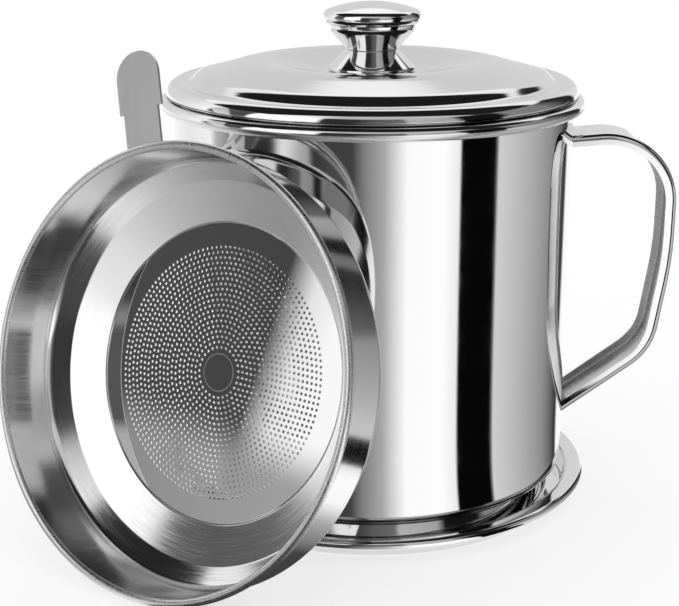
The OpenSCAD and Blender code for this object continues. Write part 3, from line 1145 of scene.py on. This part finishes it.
@dataclass(frozen=True)
class Strainer:
    """The strainer: a spun bowl with a rolled bead, and a fine-hole plate in its foot.

    It is drawn with the plate's upper face at z = 0 and the bead above it, and then
    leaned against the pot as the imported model's strainer is.
    """

    bead_d: float = 141.9
    bead_r: float = 1.4
    bead_turn: float = 290.0
    sheet: float = 0.7
    height: float = 27.5
    wall_foot_d: float = 136.8
    wall_foot_h: float = 9.0
    wall_foot_r: float = 4.0
    crease_d: float = 122.4
    crease_h: float = 4.6
    crease_r: float = 3.0
    crease_shift: Point2 = (0.2, 0.45)
    seat_d: float = 96.6
    seat_bend_r: float = 0.5
    seat_edge_h: float = 0.05
    lip_w: float = 4.0
    plate_gap: float = 0.3
    plate_t: float = 0.5
    hole_d: float = 1.0
    ring_pitch: float = 1.69
    hole_pitch: float = 1.9
    first_ring_r: float = 8.1
    rings: int = 20
    hole_corners: int = 12
    pot_r: float = 70.0
    lean_turn: float = 35.0
    lean_tilt: float = 15.7
    lean_gap: float = 0.35
    lean_rest: float = 0.25
    cone_past_crease: float = 1.0
    edge_segments: int = 180

    def seat(self) -> Point2:
        """Gives the radius and height of the corner that holds the plate's edge."""
        return self.seat_d / 2 + self.sheet / 2, -self.plate_t - self.sheet / 2

    def crease(self) -> Point2:
        """Gives the radius and height of the crease between the cone and the ledge."""
        return (
            self.crease_d / 2 + self.sheet * self.crease_shift[0],
            self.crease_h - self.sheet * self.crease_shift[1],
        )

    def route(self) -> Route:
        """Draws the bowl's sheet from the lip under the plate to the bead."""
        seat_x, seat_z = self.seat()
        bead_mid = self.bead_r - self.sheet / 2
        corners = [
            (self.seat_d / 2 - self.lip_w, seat_z),
            (seat_x, seat_z),
            (seat_x, self.seat_edge_h),
            self.crease(),
            (self.wall_foot_d / 2 - self.sheet / 2, self.wall_foot_h),
            (self.bead_d / 2 - self.bead_r - bead_mid, self.height),
        ]
        radii = [self.seat_bend_r, self.seat_bend_r, self.crease_r, self.wall_foot_r]
        return Route.bent(corners, radii).rolled(bead_mid, -self.bead_turn)

    def place(self) -> Matrix:
        """Gives the matrix that leans the strainer against the pot."""
        tilt = math.radians(self.lean_tilt)
        s, c = math.sin(tilt), math.cos(tilt)
        seat_x, seat_z = self.seat()
        crease_x, crease_z = self.crease()
        foot_x = self.wall_foot_d / 2 - self.sheet / 2
        bend = math.pi / 2 - math.atan2(self.wall_foot_h - crease_z, foot_x - crease_x)
        centre_x = foot_x - self.wall_foot_r
        centre_z = self.wall_foot_h + self.wall_foot_r * math.tan(bend / 2)
        half = self.sheet / 2
        reach = (
            (seat_x - self.seat_bend_r) * s
            - (seat_z + self.seat_bend_r) * c
            + self.seat_bend_r
            + half
        )
        out = self.pot_r + self.lean_gap + reach
        up = self.lean_rest + self.wall_foot_r + half + centre_x * c - centre_z * s
        return (
            Matrix.Rotation(-math.radians(self.lean_turn), 4, "Z")
            @ Matrix.Translation((0, -out * MM, up * MM))
            @ Matrix.Rotation(math.radians(90) - tilt, 4, "X")
        )

    def holes(self) -> list[tuple[float, float]]:
        """Lists the middles of the plate's holes, ring by ring."""
        middles = []
        for i in range(self.rings):
            r = self.first_ring_r + i * self.ring_pitch
            count = round(math.tau * r / self.hole_pitch)
            for k in range(count):
                a = math.tau * k / count
                middles.append((r * math.cos(a), r * math.sin(a)))
        return middles

    def plate(self, finish: bpy.types.Material) -> bpy.types.Object:
        """Makes the perforated plate: two flat faces, its edge and the holes' walls.

        Args:
            finish: The plate's finish.

        Returns:
            The plate, leaning in the bowl's foot.
        """
        edge_r, edge_n = self.seat_d / 2 - self.plate_gap, self.edge_segments
        loops = [
            [
                (
                    edge_r * math.cos(math.tau * k / edge_n),
                    edge_r * math.sin(math.tau * k / edge_n),
                )
                for k in range(edge_n)
            ]
        ]
        hole_r, n = self.hole_d / 2, self.hole_corners
        for x, y in self.holes():
            loops.append(
                [
                    (
                        x + hole_r * math.cos(math.tau * k / n),
                        y + hole_r * math.sin(math.tau * k / n),
                    )
                    for k in range(n)
                ]
            )
        flat = [p for loop in loops for p in loop]
        owner = [i for i, loop in enumerate(loops) for _ in loop]
        edges, base = [], 0
        for loop in loops:
            count = len(loop)
            edges += [(base + k, base + (k + 1) % count) for k in range(count)]
            base += count
        got = delaunay_2d_cdt([Vector(p) for p in flat], edges, [], 1, 1e-6, True)
        if len(got[0]) != len(flat):
            raise ValueError("the plate's holes touch each other")
        faces = []
        for face in got[2]:
            corners = [got[3][v][0] for v in face]
            owners = {owner[c] for c in corners}
            if len(owners) == 1 and 0 not in owners:
                continue
            a, b, c = (flat[v] for v in corners)
            area = (b[0] - a[0]) * (c[1] - a[1]) - (c[0] - a[0]) * (b[1] - a[1])
            faces.append(corners if area > 0 else corners[::-1])
        draft = MeshDraft()
        for z, way in ((0.0, 1.0), (-self.plate_t, -1.0)):
            start = len(draft.points)
            draft.points += [(x * MM, y * MM, z * MM) for x, y in flat]
            draft.normals += [(0.0, 0.0, way)] * len(flat)
            for face in faces:
                order = face if way > 0 else face[::-1]
                draft.faces.append(tuple(start + v for v in order))
                draft.slots.append(0)
        for loop in loops:
            outer = loop is loops[0]
            cx = sum(p[0] for p in loop) / len(loop)
            cy = sum(p[1] for p in loop) / len(loop)
            way = 1.0 if outer else -1.0
            normals = []
            for x, y in loop:
                d = math.hypot(x - cx, y - cy)
                normals.append((way * (x - cx) / d, way * (y - cy) / d, 0.0))
            rows = [[(x, y, z) for x, y in loop] for z in (0.0, -self.plate_t)]
            draft.patch(rows, [normals, normals], [0, 0], True)
        return draft.build("filter_plate", [finish], self.place())

    def build(
        self,
        bowl_finishes: Sequence[bpy.types.Material],
        plate_finish: bpy.types.Material,
        tab_finish: bpy.types.Material,
    ) -> list[bpy.types.Object]:
        """Makes the bowl and the plate, leans them, and dresses the tab's node.

        Args:
            bowl_finishes: Polished outside, turned cone, drawn wall and bead.
            plate_finish: The plate's finish.
            tab_finish: The tab's finish.

        Returns:
            The pieces made here.
        """
        crease_x = self.crease_d / 2
        bead_z = self.height

        def slot(station: Station, side: Side) -> int:
            """Gives each stretch of the bowl the finish of its own working.

            Args:
                station: A station of the bowl's route.
                side: The side of the sheet.

            Returns:
                The material's slot.
            """
            if station.y >= bead_z or station.x > self.bead_d / 2 - self.bead_r:
                return 3
            if side is Side.RIGHT:
                return 0
            return 1 if station.x < crease_x + self.cone_past_crease else 2

        bowl = SpunSheet("strainer_sheet", self.route(), self.sheet, slot)
        pieces = []
        for piece, material_slot, node in (
            (bowl.build(bowl_finishes, self.place()), "pressed_steel", "strainer_bowl"),
            (self.plate(plate_finish), "polished_steel", "filter_disc"),
        ):
            pieces.append(stand_for(piece, "strainer", material_slot, node))
        dress_node("strainer_tab", tab_finish)
        return pieces


# ---- Helpers for pieces ----


def stand_for(
    piece: bpy.types.Object, body: str, material_slot: str, *nodes: str
) -> bpy.types.Object:
    """Puts a piece on its body in place of its nodes.

    Args:
        piece: The finished piece, in place.
        body: The body that it moves with.
        material_slot: Not used.
        *nodes: The nodes that it stands for.

    Returns:
        The same piece.
    """
    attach(piece, body)
    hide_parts(*nodes)
    return piece


def dress_node(node: str, finish: bpy.types.Material) -> None:
    """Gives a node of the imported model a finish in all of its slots.

    Args:
        node: The node.
        finish: Its finish.
    """
    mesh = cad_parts[node].data
    mesh.materials.clear()
    mesh.materials.append(finish)
    log.info("node %s keeps its shape and gets %s", node, finish.name)


# ---- Studio ----


class Zone(Enum):
    """The tent's zones, from the ground up."""

    GROUND = "low"
    WALL = "middle"
    SLOPE = "high"


STRIPS: dict[Zone, tuple[tuple[float, str], ...]] = {
    Zone.GROUND: (
        (-180, "#FFFFFF"), (-150, "#F4F4F4"), (-125, "#E6E6E6"), (-101, "#F0F0F0"),
        (-96, "#B0B0B0"), (-85, "#848484"), (-76, "#909090"), (-63, "#B0B0B0"),
        (-50, "#E0E0E0"), (-44, "#E0E0E0"), (-40, "#383838"), (-10, "#404040"),
        (-4, "#7C7C7C"), (7, "#A8A8A8"), (20, "#FCFCFC"), (40, "#FFFFFF"),
        (50, "#EAEAEA"), (50.6, "#060606"), (73, "#060606"), (73.6, "#D0D0D0"),
        (95, "#B4B4B4"), (120, "#8C8C8C"), (138, "#484848"), (143, "#282828"),
        (147, "#F4F4F4"), (165, "#F0F0F0"), (180, "#FFFFFF"),
    ),
    Zone.WALL: (
        (-180, "#CCCCCC"), (-135, "#D4D4D4"), (-101, "#F4F4F4"), (-98, "#5A5A5A"),
        (-70.8, "#444444"), (-70.2, "#FFFFFF"), (-30, "#FFFFFF"), (-27, "#2A2A2A"),
        (-9, "#303030"), (2, "#585858"), (17, "#686868"), (20, "#B0B0B0"),
        (45, "#A0A0A0"), (50, "#141414"), (74, "#141414"), (80, "#808080"),
        (110, "#787878"), (128, "#303030"), (142, "#202020"), (146, "#D8D8D8"),
        (180, "#CCCCCC"),
    ),
    Zone.SLOPE: (
        (-180, "#F8F8F8"), (-110, "#E8E8E8"), (-98, "#606060"), (-82, "#606060"),
        (-78, "#FFFFFF"), (-40, "#F4F4F4"), (-20, "#B8B8B8"), (20, "#B8B8B8"),
        (60, "#C8C8C8"), (100, "#E8E8E8"), (180, "#F8F8F8"),
    ),
}


@dataclass(frozen=True)
class Studio:
    """A white floor, a white surround, and a tent with dark strips for the metal.

    The tent's strips run up from the ground, and a dark beam crosses it overhead from
    side to side. Each band is two elevations in degrees, between which one zone fades
    into the next.
    """

    floor_size: float = 30.0
    shadow_share: float = 0.28
    tent_inner_r: float = 0.082
    tent_r: float = 2.4
    tent_z: float = 0.0002
    tent_step: int = 6
    tent_segments: int = 96
    tent_light: float = 1.2
    mirror_r: float = 0.070
    beam: str = "#1C1C1C"
    beam_half_turn: float = 27.0
    beam_edge: float = 5.0
    beam_foot: float = 38.0
    wall_band: Point2 = (2.5, 5.0)
    slope_band: Point2 = (36.0, 40.0)

    def math_node(
        self, tree: bpy.types.NodeTree, operation: str, *values: object
    ) -> bpy.types.NodeSocket:
        """Adds one step of arithmetic.

        Args:
            tree: The material's node tree.
            operation: The Math node's operation.
            *values: Its values or sockets, in order.

        Returns:
            The result's socket.
        """
        node = add(
            tree, "ShaderNodeMath", {"operation": operation}, dict(enumerate(values))
        )
        return node.outputs[0]

    def strip_direction(
        self,
        tree: bpy.types.NodeTree,
        x: bpy.types.NodeSocket,
        y: bpy.types.NodeSocket,
        radius: bpy.types.NodeSocket,
    ) -> bpy.types.NodeSocket:
        """Gives the direction in which the pot's round wall looks at a place.

        Strips drawn by it run straight away from the wall's surface in place of from the
        axis, so the wall shows them upright from its foot to its rim.

        Args:
            tree: The material's node tree.
            x: The place's X.
            y: The place's Y.
            radius: The place's distance from the axis.

        Returns:
            The direction, in radians from the front towards the handle.
        """
        back = self.math_node(tree, "MULTIPLY", y, -1.0)
        from_axis = self.math_node(tree, "ARCTAN2", x, back)
        share = self.math_node(tree, "DIVIDE", self.mirror_r, radius)
        direction = from_axis
        for _ in range(2):
            half = self.math_node(tree, "MULTIPLY", direction, 0.5)
            sine = self.math_node(tree, "SINE", half)
            off = self.math_node(tree, "MULTIPLY", sine, share)
            turn_on = self.math_node(tree, "ARCSINE", off)
            direction = self.math_node(tree, "ADD", from_axis, turn_on)
        return direction

    def tent_material(self) -> bpy.types.Material:
        """Paints the tent's strips by direction, zone above zone."""
        material = empty_material("tent_strips")
        tree = material.node_tree
        place = add(tree, "ShaderNodeTexCoord").outputs["Object"]
        apart = add(tree, "ShaderNodeSeparateXYZ", {}, {"Vector": place})
        x, y, z = (apart.outputs[i] for i in range(3))
        flat = add(tree, "ShaderNodeCombineXYZ", {}, {"X": x, "Y": y})
        radius = add(
            tree, "ShaderNodeVectorMath", {"operation": "LENGTH"}, {0: flat.outputs[0]}
        ).outputs["Value"]
        direction = self.strip_direction(tree, x, y, radius)
        share = add(
            tree,
            "ShaderNodeMapRange",
            {},
            {"Value": direction, "From Min": -math.pi, "From Max": math.pi},
        ).outputs["Result"]
        colours = []
        for zone in Zone:
            ramp = add(tree, "ShaderNodeValToRGB", {}, {"Fac": share})
            elements = ramp.color_ramp.elements
            while len(elements) < len(STRIPS[zone]):
                elements.new(0.5)
            for element, (degrees, colour) in zip(elements, STRIPS[zone]):
                element.position = (degrees + 180) / 360
                element.color = linear(colour)
            colours.append(ramp.outputs["Color"])
        height = self.math_node(tree, "ARCTAN2", z, radius)
        tip = self.math_node(tree, "ARCTAN2", y, z)
        off_beam = self.math_node(tree, "ABSOLUTE", tip)
        half, edge = self.beam_half_turn, self.beam_edge
        whole: object = colours[0]
        for upper, measure, low, high in (
            (colours[1], height, *self.wall_band),
            (colours[2], height, *self.slope_band),
            (linear(self.beam), off_beam, half + edge, half),
        ):
            share_up = add(
                tree,
                "ShaderNodeMapRange",
                {"interpolation_type": "SMOOTHSTEP"},
                {
                    "Value": measure,
                    "From Min": math.radians(low),
                    "From Max": math.radians(high),
                },
            ).outputs["Result"]
            if measure is off_beam:
                overhead = self.math_node(
                    tree, "GREATER_THAN", height, math.radians(self.beam_foot)
                )
                share_up = self.math_node(tree, "MULTIPLY", share_up, overhead)
            whole = add(
                tree,
                "ShaderNodeMix",
                {"data_type": "RGBA"},
                {0: share_up, 6: whole, 7: upper},
            ).outputs[2]
        glow = add(
            tree, "ShaderNodeEmission", {}, {"Color": whole, "Strength": self.tent_light}
        )
        show(material, glow.outputs["Emission"])
        return material

    def tent(self) -> bpy.types.Object:
        """Makes the tent, a ground sheet and a dome that only reflections see."""
        profile = [(self.tent_inner_r, self.tent_z), (self.tent_r, self.tent_z)]
        for degrees in range(self.tent_step, 90, self.tent_step):
            a = math.radians(degrees)
            profile.append((self.tent_r * math.cos(a), self.tent_r * math.sin(a)))
        profile.append((self.tent_z, self.tent_r))
        points, faces, n = [], [], self.tent_segments
        for r, z in profile:
            for k in range(n):
                a = math.tau * k / n
                points.append((r * math.cos(a), r * math.sin(a), z))
        for i in range(len(profile) - 1):
            for k in range(n):
                m = (k + 1) % n
                faces.append((i * n + k, i * n + m, (i + 1) * n + m, (i + 1) * n + k))
        mesh = bpy.data.meshes.new("tent")
        mesh.from_pydata(points, [], faces)
        mesh.materials.append(self.tent_material())
        tent = bpy.data.objects.new("tent", mesh)
        bpy.context.scene.collection.objects.link(tent)
        tent.visible_camera = False
        tent.visible_diffuse = False
        tent.visible_shadow = False
        tent.visible_transmission = False
        tent.visible_volume_scatter = False
        return tent

    def floor(self) -> bpy.types.Object:
        """Makes the white floor, which keeps the object's soft shadow."""
        h = self.floor_size / 2
        mesh = bpy.data.meshes.new("floor")
        mesh.from_pydata(
            [(-h, -h, 0), (h, -h, 0), (h, h, 0), (-h, h, 0)], [], [(0, 1, 2, 3)]
        )
        material = empty_material("white_floor")
        tree = material.node_tree
        white = linear("#FFFFFF")
        paint = add(tree, "ShaderNodeBsdfDiffuse", {}, {"Color": white})
        paper = add(tree, "ShaderNodeEmission", {}, {"Color": white, "Strength": 1.0})
        rays = add(tree, "ShaderNodeLightPath").outputs
        seen = self.math_node(
            tree, "ADD", rays["Is Camera Ray"], rays["Is Glossy Ray"]
        )
        seen = self.math_node(tree, "ADD", seen, rays["Is Transmission Ray"])
        lit = self.math_node(tree, "MULTIPLY", seen, 1 - self.shadow_share)
        mix = add(
            tree,
            "ShaderNodeMixShader",
            {},
            {0: lit, 1: paint.outputs["BSDF"], 2: paper.outputs["Emission"]},
        )
        show(material, mix.outputs["Shader"])
        mesh.materials.append(material)
        floor = bpy.data.objects.new("floor", mesh)
        bpy.context.scene.collection.objects.link(floor)
        return floor

    def world(self) -> None:
        """Lights the scene evenly with a white surround."""
        world = bpy.data.worlds.new("white_surround")
        world.use_nodes = True
        tree = world.node_tree
        tree.nodes.clear()
        sky = add(
            tree, "ShaderNodeBackground", {}, {"Color": linear("#FFFFFF"), "Strength": 1.0}
        )
        add(tree, "ShaderNodeOutputWorld", {}, {"Surface": sky.outputs["Background"]})
        bpy.context.scene.world = world

    def build(self) -> None:
        """Sets up the floor, the tent and the world."""
        self.floor()
        self.tent()
        self.world()
        bpy.context.scene.view_settings.view_transform = "Standard"


@dataclass(frozen=True)
class ViewPoint:
    """The camera at the photograph's viewing angle."""

    place: Point3 = (0.0, -0.520, 0.2213)
    down: float = 0.29015
    right: float = -0.0217
    lens: float = 79.24
    sensor: float = 36.0

    def build(self) -> None:
        """Makes the camera and shows the scene through it."""
        data = bpy.data.cameras.new("view_point")
        data.lens, data.sensor_width, data.sensor_fit = self.lens, self.sensor, "HORIZONTAL"
        data.clip_start, data.clip_end = 0.01, 100.0
        camera = bpy.data.objects.new("view_point", data)
        camera.location = self.place
        camera.rotation_euler = (math.pi / 2 - self.down, 0.0, -self.right)
        bpy.context.scene.collection.objects.link(camera)
        bpy.context.scene.camera = camera


# ---- Assembly ----


def report(pieces: Iterable[bpy.types.Object]) -> None:
    """Logs each piece's name and its number of faces."""
    for piece in pieces:
        log.info("%s: %d faces", piece.name, len(piece.data.polygons))


def main() -> None:
    """Builds the studio, the camera and each sub-assembly in order."""
    logging.basicConfig(level=logging.INFO, format="%(message)s")
    ViewPoint().build()
    Studio().build()

    polished = PolishedSteel("mirror_polished_steel").material()
    knob_finish = PolishedSteel(
        "spun_polished_steel", roughness=0.05, wave_mm=15.0, wave_depth_mm=0.006
    ).material()
    satin_lid = WorkedSteel(
        "satin_spun_lid_steel", Grain.ROUND, colour="#E2E2E2", roughness=0.06, spread=0.04,
        anisotropy=0.25
    ).material()
    turned_cone = WorkedSteel(
        "turned_cone_steel", Grain.ROUND, colour="#F0F0F0", roughness=0.09, spread=0.12,
        anisotropy=0.45, leans=True
    ).material()
    drawn_wall = WorkedSteel(
        "emery_drawn_wall_steel", Grain.ACROSS, colour="#F2F2F2", roughness=0.09,
        spread=0.09, anisotropy=0.25, leans=True
    ).material()
    inside = WorkedSteel(
        "drawn_inside_steel", Grain.ROUND, roughness=0.25, spread=0.1
    ).material()
    bead = WorkedSteel(
        "rolled_bead_steel", Grain.ACROSS, roughness=0.22, spread=0.2, line_mm=0.6,
        leans=True
    ).material()
    rolled_wall = WorkedSteel(
        "rolled_outer_wall_steel", Grain.ROUND, roughness=0.1, spread=0.06,
        anisotropy=0.2, leans=True
    ).material()
    strainer = Strainer()
    turn_matrix = strainer.place().to_3x3()
    belt = WorkedSteel(
        "belt_ground_tab_steel",
        Grain.ALONG,
        colour="#E4E4E4",
        roughness=0.36,
        spread=0.14,
        line_mm=0.4,
        along=tuple(turn_matrix @ Vector((0, 1, 0))),
        across=tuple(turn_matrix @ Vector((1, 0, 0))),
    ).material()
    plain = WorkedSteel("plain_fastener_steel", Grain.ROUND, roughness=0.3).material()

    report(DripTray().build(polished))
    report(Pot().build(polished, inside))
    report(Lid().build(satin_lid, polished))
    report(Knob().build(knob_finish))
    report(
        strainer.build(
            [rolled_wall, turned_cone, drawn_wall, bead],
            EtchedPlateSteel("etched_plate_steel").material(),
            belt,
        )
    )
    for node in ("knob_screw", "knob_washer", "knob_nut"):
        dress_node(node, plain)


if __name__ == "__main__":
    main()
